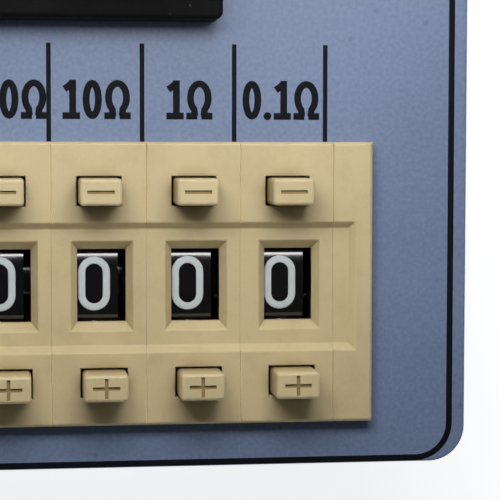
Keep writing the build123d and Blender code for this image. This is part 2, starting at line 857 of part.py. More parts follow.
# Leads from the solder lugs down to the board
lead_top = shell_under - lug_thickness - lead_radius - wire_gap
lead_foot = pcb_height + pcb_thickness + wire_gap
with BuildPart() as lead_wires:
    for x, y in post_places:
        lead_x = lead_column * resistor_pitch_x * (1 if x > 0 else -1)
        start = (x, y + lug_length - lead_lap, lead_top)
        with BuildLine():
            FilletPolyline(
                start,
                (x, y + lug_length + lead_bend, lead_top),
                (lead_x, y + lug_length + 2 * lead_bend, lead_foot + 2 * lead_bend),
                (lead_x, y + lug_length + 2 * lead_bend, lead_foot),
                radius=lead_bend,
            )
        with BuildSketch(Plane(origin=start, z_dir=(0, 1, 0))):
            Circle(lead_radius)
        sweep()
save(lead_wires.part, "lead_wires")
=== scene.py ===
import json
import math

import bmesh
import bpy
from mathutils import Matrix, Vector


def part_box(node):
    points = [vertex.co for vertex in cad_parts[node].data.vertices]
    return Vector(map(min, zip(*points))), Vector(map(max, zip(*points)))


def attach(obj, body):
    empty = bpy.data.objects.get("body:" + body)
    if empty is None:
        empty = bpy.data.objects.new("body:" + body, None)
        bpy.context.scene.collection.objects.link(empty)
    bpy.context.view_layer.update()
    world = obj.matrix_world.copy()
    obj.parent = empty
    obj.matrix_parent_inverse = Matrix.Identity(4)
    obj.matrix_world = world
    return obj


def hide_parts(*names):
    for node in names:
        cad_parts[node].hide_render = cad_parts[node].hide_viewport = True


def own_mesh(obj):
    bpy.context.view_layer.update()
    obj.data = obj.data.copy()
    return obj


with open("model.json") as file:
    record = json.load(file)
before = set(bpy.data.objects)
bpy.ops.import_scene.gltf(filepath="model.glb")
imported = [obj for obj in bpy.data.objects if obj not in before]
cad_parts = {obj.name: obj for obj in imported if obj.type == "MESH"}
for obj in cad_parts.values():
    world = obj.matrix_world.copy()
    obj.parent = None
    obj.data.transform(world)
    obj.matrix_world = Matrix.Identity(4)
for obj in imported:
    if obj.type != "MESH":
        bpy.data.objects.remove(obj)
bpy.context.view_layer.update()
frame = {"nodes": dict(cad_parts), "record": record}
nodes = frame["nodes"]
mm = 0.001
close = 0.01 * mm  # nearer than this counts as the same place


# Places that the frame gives
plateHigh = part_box("front_panel")[1]
panelTop = plateHigh.z
bezelLow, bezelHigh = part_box("switch_housing_1")
bankTop = bezelHigh.y
decadeCount = len([name for name in nodes if name.startswith("number_wheel_")])
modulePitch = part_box("switch_housing_2")[0].x - bezelLow.x
moduleX = [(i - (decadeCount - 1) / 2) * modulePitch for i in range(decadeCount)]
decades = range(1, decadeCount + 1)  # as the nodes are numbered
print("frame read:", len(nodes), "nodes,", decadeCount, "decades")


# Shader helpers

def colour(red, green, blue):  # screen values 0 to 255, turned into linear light
    def linear(c):
        c = c / 255
        return c / 12.92 if c < 0.04045 else ((c + 0.055) / 1.055) ** 2.4
    return (linear(red), linear(green), linear(blue), 1.0)


class Value:  # a number that varies over the surface, for sums written as sums
    def __init__(self, finish, socket):
        self.finish = finish
        self.socket = socket

    def sum(self, operation, first, second):
        return self.finish.node("ShaderNodeMath", {"operation": operation}, {0: first, 1: second})

    def __add__(self, other):
        return self.sum("ADD", self, other)

    def __radd__(self, other):
        return self.sum("ADD", other, self)

    def __mul__(self, other):
        return self.sum("MULTIPLY", self, other)

    def __rmul__(self, other):
        return self.sum("MULTIPLY", other, self)

    def __lt__(self, other):
        return self.sum("LESS_THAN", self, other)


class Finish:  # one material and the nodes that make it
    def __init__(self, name, baseColour, roughness, metallic=0.0, specular=0.5):
        self.material = bpy.data.materials.new(name)
        self.material.use_nodes = True
        self.tree = self.material.node_tree
        self.shader = self.tree.nodes["Principled BSDF"]
        self.shader.inputs["Base Color"].default_value = baseColour
        self.shader.inputs["Roughness"].default_value = roughness
        self.shader.inputs["Metallic"].default_value = metallic
        self.shader.inputs["Specular IOR Level"].default_value = specular
        self.place = self.node("ShaderNodeTexCoord", {}, {}, "Object")

    def node(self, kind, settings, inputs, output=0):
        made = self.tree.nodes.new(kind)
        for key, setting in settings.items():
            setattr(made, key, setting)
        for key, given in inputs.items():
            if isinstance(given, Value):
                self.tree.links.new(given.socket, made.inputs[key])
            else:
                made.inputs[key].default_value = given
        return Value(self, made.outputs[output])

    def feed(self, name, given):
        self.tree.links.new(given.socket, self.shader.inputs[name])

    def noise(self, size, detail=4.0, roughness=0.55, stretch=(1, 1, 1)):  # size is that of one blotch
        place = self.node("ShaderNodeMapping", {}, {"Vector": self.place, "Scale": stretch})
        settings = {"Vector": place, "Scale": 1 / size, "Detail": detail, "Roughness": roughness}
        return self.node("ShaderNodeTexNoise", {}, settings, "Fac")

    def spread(self, value, low, high, toLow=0.0, toHigh=1.0):
        limits = {"Value": value, "From Min": low, "From Max": high, "To Min": toLow, "To Max": toHigh}
        return self.node("ShaderNodeMapRange", {"clamp": True}, limits)

    def patches(self, size, detail=4.0, low=0.3, high=0.7, roughness=0.55, stretch=(1, 1, 1)):
        return self.spread(self.noise(size, detail, roughness, stretch), low, high)  # noise from clear 0 to 1

    def specks(self, size, share):  # small round dots, with share of the cells filled
        cells = {"Vector": self.place, "Scale": 1 / size, "Randomness": 1.0}
        distance = self.node("ShaderNodeTexVoronoi", {}, cells, "Distance")
        picked = self.node("ShaderNodeTexVoronoi", {}, cells, "Color")
        chance = self.node("ShaderNodeSeparateColor", {}, {"Color": picked}, "Red")
        return self.spread(distance, 0.12, 0.3, 1.0, 0.0) * (chance < share)

    def wornEdges(self, reach, size, low, high):  # near 1 on edges where the patches say so
        soft = self.node("ShaderNodeBevel", {"samples": 4}, {"Radius": reach}, "Normal")
        plain = self.node("ShaderNodeNewGeometry", {}, {}, "Normal")
        match = self.node("ShaderNodeVectorMath", {"operation": "DOT_PRODUCT"}, {0: soft, 1: plain}, "Value")
        return self.spread(match, 0.72, 0.97, 1.0, 0.0) * self.patches(size, low=low, high=high)

    def blend(self, amount, first, second):
        settings = {"data_type": "RGBA", "blend_type": "MIX"}
        return self.node("ShaderNodeMix", settings, {0: amount, 6: first, 7: second}, 2)

    def relief(self, height, depth, normal=None):  # over the relief that normal already holds
        given = {"Height": height, "Distance": depth, "Strength": 1.0}
        if normal:
            given["Normal"] = normal
        return self.node("ShaderNodeBump", {}, given, "Normal")


def tinted(base, amount):  # the same colour, lighter or darker
    return tuple(min(1.0, c * amount) for c in base[:3]) + (1.0,)


# Materials

def paintFinish(base):
    finish = Finish("panelPaint", base, 0.42)
    cloud = finish.patches(14 * mm, 5)
    grain = finish.patches(0.35 * mm, 3, 0.35, 0.65)
    dust = finish.specks(1.1 * mm, 0.045)
    tone = finish.blend(cloud, tinted(base, 0.93), tinted(base, 1.06))
    tone = finish.blend(grain * 0.16, tone, colour(176, 188, 210))
    tone = finish.blend(dust * 0.3, tone, colour(70, 78, 96))
    rub = finish.wornEdges(0.25 * mm, 3 * mm, 0.45, 0.62)
    finish.feed("Base Color", finish.blend(rub * 0.35, tone, colour(178, 184, 196)))
    finish.feed("Roughness", 0.4 + 0.1 * cloud + 0.06 * grain)
    orangePeel = finish.noise(0.9 * mm, 2, 0.4)
    finish.feed("Normal", finish.relief(orangePeel, 0.02 * mm, finish.relief(grain, 0.004 * mm)))
    return finish.material


def shellFinish(base):
    finish = Finish("caseShell", base, 0.55)
    cloud = finish.patches(22 * mm, 4)
    sparks = finish.patches(0.5 * mm, 4, roughness=0.6)
    tone = finish.blend(cloud, tinted(base, 0.9), tinted(base, 1.1))
    wear = finish.wornEdges(0.5 * mm, 4 * mm, 0.42, 0.6)
    finish.feed("Base Color", finish.blend(wear * 0.3, tone, colour(150, 156, 170)))
    finish.feed("Roughness", 0.48 + 0.16 * sparks)
    finish.feed("Normal", finish.relief(sparks, 0.05 * mm))
    return finish.material


def beigeFinish(name, base, reach, fullShadeBelow, noShadeAbove, deepestShade):  # painted shade: darker and browner in hollows, as ambient occlusion finds them up to that reach
    finish = Finish(name, base, 0.4)
    cloud = finish.patches(9 * mm, 5)
    grain = finish.patches(0.25 * mm, 3)
    grime = finish.patches(2.2 * mm, 6, 0.5, 0.75, 0.65)
    tone = finish.blend(cloud, tinted(base, 0.95), tinted(base, 1.04))
    tone = finish.blend(grime * 0.22, tone, colour(168, 142, 92))
    tone = finish.blend(grain * 0.08, tone, colour(232, 220, 184))
    # painted shade: ambient occlusion turns the colour dark brown in hollows, creases and between parts
    openness = finish.node("ShaderNodeAmbientOcclusion", {"samples": 6}, {"Distance": reach}, "AO")
    tone = finish.blend(finish.spread(openness, fullShadeBelow, noShadeAbove, deepestShade, 0.0), tone, colour(104, 76, 38))
    worn = finish.wornEdges(0.14 * mm, 1.6 * mm, 0.35, 0.6)
    finish.feed("Base Color", finish.blend(worn * 0.4, tone, colour(240, 229, 196)))
    finish.feed("Roughness", 0.36 + 0.12 * cloud + 0.08 * grain)
    waves = finish.relief(finish.noise(1.5 * mm, 2), 0.01 * mm)
    finish.feed("Normal", finish.relief(grain, 0.004 * mm, waves))
    return finish.material


def plasticFinish(name, base, roughness, dusty, specular=0.5, grainDepth=0.003 * mm):
    finish = Finish(name, base, roughness, specular=specular)
    cloud = finish.patches(5 * mm, 5)
    grain = finish.patches(0.3 * mm, 3)
    dust = finish.specks(0.55 * mm, 0.06)
    tone = finish.blend(cloud, tinted(base, 0.85), tinted(base, 1.15))
    tone = finish.blend(dust * dusty, tone, colour(170, 172, 172))
    rub = finish.wornEdges(0.2 * mm, 1.4 * mm, 0.42, 0.6)
    finish.feed("Base Color", finish.blend(rub * 0.18, tone, tinted(base, 2.6)))
    finish.feed("Roughness", roughness * 0.85 + 0.14 * cloud + 0.08 * grain)
    finish.feed("Normal", finish.relief(grain, grainDepth))
    return finish.material


def wheelFinish(base):
    finish = Finish("wheelBlack", base, 0.12, specular=0.9)
    haze = finish.patches(2.5 * mm, 5, 0.35, 0.7)
    grain = finish.patches(0.3 * mm, 3)
    lint = finish.specks(0.5 * mm, 0.03)
    tone = finish.blend(lint * 0.12, base, colour(150, 152, 152))
    finish.feed("Base Color", finish.blend(haze * 0.3, tone, colour(22, 22, 23)))
    finish.feed("Roughness", 0.1 + 0.06 * haze + 0.04 * grain)
    finish.feed("Normal", finish.relief(haze, 0.006 * mm))
    finish.shader.inputs["Coat Weight"].default_value = 0.8
    finish.shader.inputs["Coat Roughness"].default_value = 0.12
    return finish.material


def metalFinish(name, base, roughness, brushed=(1, 1, 1), stained=None):
    finish = Finish(name, base, roughness, metallic=1.0)
    cloud = finish.patches(3 * mm, 5)
    lines = finish.patches(0.3 * mm, 3, roughness=0.5, stretch=brushed)
    stain = finish.patches(1.8 * mm, 6, 0.56, 0.72, 0.7)
    tone = finish.blend(cloud, tinted(base, 0.88), tinted(base, 1.08))
    finish.feed("Base Color", finish.blend(stain * 0.4, tone, stained or tinted(base, 0.55)))
    finish.feed("Roughness", roughness * 0.8 + 0.14 * lines + 0.12 * stain)
    finish.feed("Normal", finish.relief(lines, 0.004 * mm))
    return finish.material


def threadFinish(base, roughness):
    finish = Finish("threadNickel", base, roughness, metallic=1.0)
    cloud = finish.patches(3 * mm, 5)
    bands = {"wave_type": "BANDS", "bands_direction": "Z", "wave_profile": "TRI"}
    waves = {"Vector": finish.place, "Scale": 50.0}  # ridges some 6 mm apart, much coarser than the thread
    turns = finish.node("ShaderNodeTexWave", bands, waves, "Fac")
    finish.feed("Base Color", finish.blend(cloud, tinted(base, 0.85), tinted(base, 1.06)))
    finish.feed("Roughness", roughness * 0.9 + 0.1 * cloud)
    finish.feed("Normal", finish.relief(turns, 0.4 * mm))
    return finish.material


def rubberFinish(base):
    finish = Finish("rubber", base, 0.8)
    pores = finish.patches(0.4 * mm, 4, 0.35, 0.65)
    chalk = finish.patches(2.5 * mm, 5, 0.45, 0.7)
    finish.feed("Base Color", finish.blend(chalk * 0.3, base, colour(92, 90, 86)))
    finish.feed("Roughness", 0.7 + 0.2 * pores)
    finish.feed("Normal", finish.relief(pores, 0.03 * mm))
    return finish.material


def boardFinish(base):
    finish = Finish("circuitBoard", base, 0.35)
    threads = {"Vector": finish.place, "Scale": 900.0}
    weave = finish.node("ShaderNodeTexWave", {"wave_type": "BANDS"}, threads, "Fac")
    grid = {"Vector": finish.place, "Scale": 420.0, "Randomness": 0.0}
    distance = finish.node("ShaderNodeTexVoronoi", {"distance": "CHEBYCHEV"}, grid, "Distance")
    tracks = finish.spread(distance, 0.36, 0.4)
    tone = finish.blend(tracks * 0.5, base, colour(52, 128, 78))
    finish.feed("Base Color", finish.blend(finish.patches(6 * mm) * 0.3, tone, colour(14, 58, 36)))
    finish.feed("Roughness", 0.3 + 0.15 * weave)
    finish.feed("Normal", finish.relief(tracks, 0.03 * mm))
    return finish.material


def ribbonFinish(base):
    finish = Finish("ribbonCable", base, 0.5)
    cores = finish.node("ShaderNodeTexWave", {"wave_type": "BANDS", "bands_direction": "X"},
                        {"Vector": finish.place, "Scale": 250.0}, "Fac")
    tone = finish.blend(cores, tinted(base, 0.75), tinted(base, 1.1))
    finish.feed("Base Color", finish.blend(finish.noise(4 * mm) * 0.2, tone, colour(110, 108, 104)))
    finish.feed("Roughness", 0.42 + 0.2 * cores)
    finish.feed("Normal", finish.relief(cores, 0.2 * mm))
    return finish.material


def inkFinish(name, base, fade, chipped, specular=0.25):
    finish = Finish(name, base, 0.6, specular=specular)
    film = finish.patches(0.7 * mm, 4)
    chips = finish.patches(0.3 * mm, 5, 0.62, 0.72, 0.7)
    tone = finish.blend(film * fade, base, tinted(base, 1.8))
    finish.feed("Base Color", finish.blend(chips * chipped, tone, tinted(base, 0.7)))
    finish.feed("Roughness", 0.5 + 0.2 * film)
    finish.feed("Normal", finish.relief(film, 0.004 * mm))
    return finish.material


beige = colour(214, 196, 152)
nickel = colour(205, 200, 190)
materials = {  # by their slots in the record
    "panel_paint": paintFinish(colour(112, 130, 166)),
    "case_shell": shellFinish(colour(98, 111, 138)),
    # painted shade in the hollows of the housings and end cheeks, by ambient occlusion
    "beige_plastic": beigeFinish("beigePlastic", beige, reach=2.2 * mm, fullShadeBelow=0.25, noShadeAbove=0.8, deepestShade=0.85),
    "wheel_black": wheelFinish(colour(13, 13, 14)),
    "black_plastic": plasticFinish("blackPlastic", colour(26, 27, 28), 0.45, dusty=0.14, specular=0.25),
    "red_plastic": plasticFinish("redPlastic", colour(160, 22, 20), 0.42, dusty=0.08, specular=0.25),
    "nickel": metalFinish("nickelPlate", nickel, 0.24, brushed=(1, 1, 6)),
    "steel": metalFinish("zincSteel", colour(178, 180, 182), 0.36, (1, 1, 3), colour(120, 112, 96)),
    "spring_steel": metalFinish("springSteel", colour(150, 152, 156), 0.28, brushed=(6, 1, 1)),
    "contact_brass": metalFinish("contactBrass", colour(214, 176, 92), 0.3, (1, 5, 1), colour(126, 86, 40)),
    "rubber": rubberFinish(colour(34, 34, 35)),
    "circuit_board": boardFinish(colour(22, 84, 52)),
    "resistor_body": plasticFinish("resistorBody", colour(44, 92, 146), 0.4, dusty=0.06),
    "cable_grey": ribbonFinish(colour(150, 152, 156)),
}
threadNickel = threadFinish(nickel, 0.26)
blockBlack = plasticFinish("blockBlack", colour(13, 13, 14), 0.7, 0.1, specular=0.12, grainDepth=0.006 * mm)
# painted shade: ambient occlusion over a long reach darkens the keys' side walls
keyBeige = beigeFinish("keyBeige", beige, reach=4.0 * mm, fullShadeBelow=0.45, noShadeAbove=0.97, deepestShade=0.95)
# painted light: a lighter copy of the beige, with little occlusion shade, that cancels the shade in the seam
# grooves
seamLitBeige = beigeFinish("seamLitBeige", tinted(beige, 1.28), reach=1.0 * mm, fullShadeBelow=0.25, noShadeAbove=0.8, deepestShade=0.1)
# painted shade: a much darker brass for the wipers, which show only in the dark gap beside each wheel
wiperShadedBrass = metalFinish("wiperShadedBrass", colour(84, 68, 42), 0.5, (1, 5, 1), colour(48, 38, 26))
panelInk = inkFinish("panelInk", colour(16, 20, 26), fade=0.1, chipped=0.1, specular=0.1)
digitInk = inkFinish("digitInk", colour(206, 216, 219), fade=0.08, chipped=0.12)
markShade = inkFinish("markShade", colour(158, 136, 88), fade=0.2, chipped=0.2)
print("materials made:", len(bpy.data.materials))


# Mesh helpers

def addPiece(name, bm, material, body):
    mesh = bpy.data.meshes.new(name)
    bm.to_mesh(mesh)
    bm.free()
    mesh.materials.append(material)
    piece = bpy.data.objects.new(name, mesh)
    bpy.context.scene.collection.objects.link(piece)
    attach(piece, body)
    return piece


def mergedCopy(node):  # the CAD node's own triangles, joined up again into whole faces
    bm = bmesh.new()
    bm.from_mesh(nodes[node].data)
    bmesh.ops.remove_doubles(bm, verts=bm.verts, dist=0.0005 * mm)
    bmesh.ops.dissolve_limit(bm, angle_limit=math.radians(0.5), verts=bm.verts, edges=bm.edges)
    return bm


def facesAt(bm, height):
    return [f for f in bm.faces if abs(f.calc_center_median().z - height) < close]


def sinkMark(bm, height, boxes, depth):  # presses rectangles into the flat face at that height
    def onFace():
        return [f for f in facesAt(bm, height) if abs(f.normal.z) > 0.99]

    bm.normal_update()
    for x, y, halfX, halfY in boxes:
        for point, side in (((x - halfX, y, 0), (1, 0, 0)), ((x + halfX, y, 0), (1, 0, 0)),
                            ((x, y - halfY, 0), (0, 1, 0)), ((x, y + halfY, 0), (0, 1, 0))):
            cut = onFace()
            around = cut + list({e for f in cut for e in f.edges}) + list({v for f in cut for v in f.verts})
            bmesh.ops.bisect_plane(bm, geom=around, dist=close / 100, plane_co=point, plane_no=side)
            bm.normal_update()

    def inside(f):
        c = f.calc_center_median()
        return any(abs(c.x - x) < halfX and abs(c.y - y) < halfY for x, y, halfX, halfY in boxes)

    covered = [f for f in onFace() if inside(f)]
    pressed = bmesh.ops.extrude_face_region(bm, geom=covered)
    bmesh.ops.delete(bm, geom=covered, context="FACES")
    moved = [v for v in pressed["geom"] if isinstance(v, bmesh.types.BMVert)]
    for f in pressed["geom"]:
        if isinstance(f, bmesh.types.BMFace):
            f.material_index = 1  # the piece's second material
    bmesh.ops.translate(bm, verts=moved, vec=(0, 0, -depth))
    bm.normal_update()


def strokeMesh(paths, width, thickness):  # flat pen strokes; a path is (points, closed)
    line = bpy.data.curves.new("strokes", "CURVE")
    line.dimensions = "3D"
    line.bevel_depth = width / 2
    line.bevel_resolution = 3
    line.use_fill_caps = True
    for points, closed in paths:
        spline = line.splines.new("POLY")
        spline.points.add(len(points) - 1)
        for knot, (x, y) in zip(spline.points, points):
            knot.co = (x, y, 0, 1)
        spline.use_cyclic_u = closed
    holder = bpy.data.objects.new("strokes", line)
    bpy.context.scene.collection.objects.link(holder)
    flat = bpy.data.meshes.new_from_object(holder.evaluated_get(bpy.context.evaluated_depsgraph_get()))
    bpy.data.objects.remove(holder)
    flat.transform(Matrix.Diagonal((1, 1, thickness / (width / 2), 1)))
    return flat


def arc(x, y, radiusX, radiusY, start, end, steps=16):  # points of it, with start and end in degrees
    turns = [math.radians(start + (end - start) * i / steps) for i in range(steps + 1)]
    return [(x + radiusX * math.cos(t), y + radiusY * math.sin(t)) for t in turns]


# Printing on the panel: border, lines between the decades and their values

border = {"inset": 1.4 * mm, "slip": 1.03 * mm, "corner": 3.0 * mm, "width": 0.53 * mm}
decadeLine = {"top": 8.3 * mm, "width": 0.39 * mm, "pitch": 7.87 * mm, "middle": -0.06 * mm}
letter = {"height": 3.32 * mm, "stroke": 0.58 * mm, "baseline": 1.9 * mm, "widest": 7.4 * mm, "gap": 0.2 * mm,
          "aside": 0.1 * mm}
ink = {"height": 0.02 * mm}


def addPrint(name, paths, width, place=(0, 0)):
    bm = bmesh.new()
    flat = strokeMesh(paths, width, ink["height"])
    flat.transform(Matrix.Translation((place[0], place[1], panelTop)))
    bm.from_mesh(flat)
    return addPiece(name, bm, panelInk, "case")


halfX = plateHigh.x - border["inset"]
halfY = plateHigh.y - border["inset"]
cornerX = halfX - border["corner"]
cornerY = halfY - border["corner"]
outline = []
for signX, signY, start in ((1, 1, 0), (-1, 1, 90), (-1, -1, 180), (1, -1, 270)):
    outline += arc(signX * cornerX, signY * cornerY, border["corner"], border["corner"], start, start + 90)
addPrint("borderLine", [(outline, True)], border["width"], (0, -border["slip"]))

lines = []
for i in range(decadeCount + 1):
    x = (i - decadeCount / 2) * decadeLine["pitch"] + decadeLine["middle"]
    lines.append(([(x, bankTop), (x, bankTop + decadeLine["top"])], False))
addPrint("decadeLines", lines, decadeLine["width"])


def letterStrokes(sign):  # its strokes in millimetres from its left foot, and its width
    top = letter["height"] / mm - letter["stroke"] / mm / 2
    foot = letter["stroke"] / mm / 2
    if sign == "0":
        half = (top - foot) / 2
        return [(arc(0.81, foot + half, 0.52, half, 0, 360, 28)[:-1], True)], 1.62
    if sign == "1":
        flag = [(0.16, top - 0.5), (0.4, top - 0.34), (0.86, top + 0.04)]
        stem = [(0.86, top + foot), (0.86, foot)]
        return [(flag, False), (stem, False), ([(0.0, foot), (1.48, foot)], False)], 1.5
    if sign == ".":
        return [(arc(0.34, foot + 0.02, 0.06, 0.06, 0, 360, 10)[:-1], True)], 0.68
    if sign == "k":
        stem = [(0.1, top), (0.42, top), (0.42, foot)]
        arm = [(1.45, top - 1.0), (0.5, foot + 0.95)]
        leg = [(0.85, foot + 1.2), (1.5, foot)]
        return [(stem, False), (arm, False), (leg, False), ([(0.0, foot), (0.8, foot)], False),
                ([(1.15, foot), (1.95, foot)], False)], 1.95
    ring = [(1.5, foot)] + arc(1.12, top - 1.2, 0.76, 1.2, -54, 234, 30) + [(0.74, foot)]  # the ohm sign
    return [(ring, False), ([(0.0, foot), (0.95, foot)], False), ([(1.29, foot), (2.24, foot)], False)], 2.24


def addLabel(name, text, x):
    signs = [letterStrokes(sign) for sign in text]
    gap = letter["gap"] / mm
    total = sum(width for strokes, width in signs) + gap * (len(signs) - 1)
    squeeze = min(1.0, letter["widest"] / mm / total)
    paths, at = [], -total / 2
    for strokes, width in signs:
        for points, closed in strokes:
            paths.append(([((at + px) * squeeze * mm, py * mm) for px, py in points], closed))
        at += width + gap
    addPrint(name, paths, letter["stroke"], (x, bankTop + letter["baseline"]))


for i in range(decadeCount):
    x = (i - (decadeCount - 1) / 2) * decadeLine["pitch"] + decadeLine["middle"] + letter["aside"]
    power = decadeCount - 2 - i  # the last decade is tenths
    value = "0.1" if power < 0 else "1" + "0" * (power % 3) + ("k" if power > 2 else "")
    addLabel(f"decadeLabel_{i + 1}", value + "\u03a9", x)
print("panel printed")


# Number wheels: softly rounded corners and ten digits round each rim

wheel = {"starRing": 0.64 * mm, "corner": 4.0 * mm, "sides": 10, "cuts": 9}
digit = {"halfWidth": 1.05 * mm, "halfHeight": 2.01 * mm, "stroke": 0.63 * mm, "thickness": 0.015 * mm,
         "raised": 0.1 * mm, "step": 0.25 * mm}
halfTurn = math.pi / wheel["sides"]
bow = digit["halfWidth"] / digit["halfHeight"]  # keeps the arcs round


def digitStrokes(number):  # from -1 to 1 both ways
    top, low = 1 - bow, bow - 1
    if number == 0:
        return [(arc(0, top, 1, bow, 0, 180) + arc(0, low, 1, bow, 180, 360), True)]
    if number == 1:
        return [([(-0.55, 0.62), (0.1, 1), (0.1, -1)], False)]
    if number == 2:
        return [(arc(0, top, 1, bow, 170, -30) + [(-1, -1), (1, -1)], False)]
    if number == 3:
        return [(arc(-0.05, 0.51, 0.95, 0.49, 160, -90) + arc(-0.05, -0.49, 1.05, 0.51, 90, -160), False)]
    if number == 4:
        return [([(0.45, -1), (0.45, 1), (-1, -0.4), (1, -0.4)], False)]
    if number == 5:
        return [([(0.85, 1), (-0.8, 1), (-0.88, 0.02)] + arc(0, -0.42, 1, 0.58, 128, -150), False)]
    if number == 7:
        return [([(-1, 1), (1, 1), (-0.25, -1)], False)]
    if number == 8:
        return [(arc(0, 0.51, 0.86, 0.49, 0, 360)[:-1], True), (arc(0, -0.47, 1, 0.53, 0, 360)[:-1], True)]
    loop = [(arc(0, -0.45, 1, 0.55, 0, 360)[:-1], True)]
    tail = [([(-1, -0.45), (-1, top)] + arc(0, top, 1, bow, 180, 35), False)]
    six = loop + tail
    if number == 6:
        return six
    return [([(-x, -y) for x, y in points], closed) for points, closed in six]


def flatEnd(face):  # where a flat of the rim ends and its rounded corner starts
    return (face - wheel["corner"]) * math.tan(halfTurn)


def rimPoint(face, along, above):  # along the rounded rim from the middle of a face, and above it
    turn = max(0.0, abs(along) - flatEnd(face)) / wheel["corner"]
    reach = wheel["corner"] + above
    y = min(abs(along), flatEnd(face)) + reach * math.sin(turn)
    z = face - wheel["corner"] + reach * math.cos(turn)
    return math.copysign(y, along), z


def rimRadius(face, angle):  # from the axle to the rounded rim, at an angle from the middle of the top face
    angle = abs((angle + halfTurn) % (2 * halfTurn) - halfTurn)
    if math.tan(angle) * face < flatEnd(face):
        return face / math.cos(angle)
    hub = (face - wheel["corner"]) / math.cos(halfTurn)
    aside = hub * math.sin(halfTurn - angle)
    return hub * math.cos(halfTurn - angle) + math.sqrt(wheel["corner"] ** 2 - aside ** 2)


def densePath(points, closed):  # with more points, so that the stroke can follow the rim
    ring = points + points[:1] if closed else points
    dense = [ring[0]]
    for start, end in zip(ring, ring[1:]):
        parts = max(1, math.ceil(math.dist(start, end) / digit["step"]))
        dense += [(start[0] + (end[0] - start[0]) * i / parts, start[1] + (end[1] - start[1]) * i / parts)
                  for i in range(1, parts + 1)]
    return dense[:-1] if closed else dense


def roundWheel(index, axleY, axleZ, face):
    node = f"number_wheel_{index}"
    bm = mergedCopy(node)

    def fromAxle(v):
        return v.co.y - axleY, v.co.z - axleZ

    def onRim(v):
        return math.hypot(*fromAxle(v)) > face - 5 * close

    rim = [e for e in bm.edges if all(onRim(v) for v in e.verts)]
    sideEdges = [e for e in rim if abs(e.verts[0].co.x - e.verts[1].co.x) < close]
    flats = [e for e in sideEdges if e.calc_length() > face * math.tan(halfTurn)]
    bmesh.ops.subdivide_edges(bm, edges=flats, cuts=wheel["cuts"], use_grid_fill=False)
    for v in bm.verts:
        if onRim(v):
            angle = math.atan2(*fromAxle(v))
            radius = rimRadius(face, angle)
            v.co.y = axleY + radius * math.sin(angle)
            v.co.z = axleZ + radius * math.cos(angle)
    bm.normal_update()
    for f in bm.faces:
        f.smooth = True
    piece = addPiece(f"numberWheel_{index}", bm, materials["wheel_black"], f"wheel_{index}")
    piece.data.set_sharp_from_angle(angle=math.radians(25))
    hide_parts(node)


def addDigits(index, middle, axleY, axleZ, face):
    bm = bmesh.new()
    for number in range(wheel["sides"]):
        paths = []
        for points, closed in digitStrokes(number):
            sized = [(px * digit["halfWidth"], py * digit["halfHeight"] + digit["raised"])
                     for px, py in points]
            paths.append((densePath(sized, closed), closed))
        flat = strokeMesh(paths, digit["stroke"], digit["thickness"])
        for v in flat.vertices:
            v.co.y, v.co.z = rimPoint(face, v.co.y, v.co.z)
        flat.transform(Matrix.Rotation(-number * math.tau / wheel["sides"], 4, "X"))
        flat.transform(Matrix.Translation((middle, axleY, axleZ)))
        bm.from_mesh(flat)
    addPiece(f"digits_{index}", bm, digitInk, f"wheel_{index}")


for index in decades:
    low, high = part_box(f"number_wheel_{index}")
    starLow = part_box(f"contact_wiper_{index}")[0].x
    axle = (low.y + high.y) / 2, (low.z + high.z) / 2
    face = (high.z - low.z) / 2  # flat to flat, as the top one lies level
    roundWheel(index, *axle, face)
    addDigits(index, (low.x + starLow - wheel["starRing"]) / 2, *axle, face)
print("digits printed on", decadeCount, "wheels")


# Keys with their pressed-in signs

sign = {"long": 1.12 * mm, "high": 0.83 * mm, "thick": 0.15 * mm, "depth": 0.2 * mm}


def middleOf(faces):  # weighted by their areas
    area = sum(f.calc_area() for f in faces)
    return sum((f.calc_center_median() * f.calc_area() for f in faces), Vector()) / area


for index in decades:
    for kind in ("minus", "plus"):
        node = f"{kind}_key_{index}"
        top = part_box(node)[1].z
        bm = mergedCopy(node)
        centre = middleOf(facesAt(bm, top))
        bars = [(centre.x, centre.y, sign["long"], sign["thick"])]
        if kind == "plus":
            bars.append((centre.x, centre.y, sign["thick"], sign["high"]))
        sinkMark(bm, top, bars, sign["depth"])
        key = addPiece(f"{kind}Key_{index}", bm, keyBeige, f"{kind}_{index}")
        key.data.materials.append(markShade)
        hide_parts(node)
print("keys dressed")


# Housings and end cheeks: softened edges, and a lighter beige along the seams as painted light that cancels
# the shade in the seam grooves

softBezel = {"width": 0.09 * mm, "segments": 2, "abovePanel": 0.4 * mm, "sharp": 28, "seamEdge": 0.2 * mm,
             "seamFace": 0.1 * mm}


def softEdges(piece, seams):  # rounds the sharp edges well above the panel, but not those along the seams
    piece.data.attributes.new("bevel_weight_edge", "FLOAT", "EDGE")
    bm = bmesh.new()
    bm.from_mesh(piece.data)
    bm.normal_update()
    layer = bm.edges.layers.float["bevel_weight_edge"]
    for e in bm.edges:
        high = min(v.co.z for v in e.verts) > panelTop + softBezel["abovePanel"]
        sharp = e.calc_face_angle(0.0) > math.radians(softBezel["sharp"])
        onSeam = any(all(abs(v.co.x - x) < softBezel["seamEdge"] for v in e.verts) for x in seams)
        e[layer] = 1.0 if high and sharp and not onSeam else 0.0
    bm.to_mesh(piece.data)
    bm.free()
    rounded = piece.modifiers.new("soft edges", "BEVEL")
    rounded.limit_method = "WEIGHT"
    rounded.width = softBezel["width"]
    rounded.segments = softBezel["segments"]


def addMoulding(name, node, seams):
    piece = addPiece(name, mergedCopy(node), materials["beige_plastic"], "case")
    softEdges(piece, seams)
    # painted light: the faces along the seams take the lighter beige, against the shade in their grooves
    piece.data.materials.append(seamLitBeige)
    for f in piece.data.polygons:
        if any(abs(f.center.x - x) < softBezel["seamFace"] for x in seams):
            f.material_index = 1
    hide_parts(node)


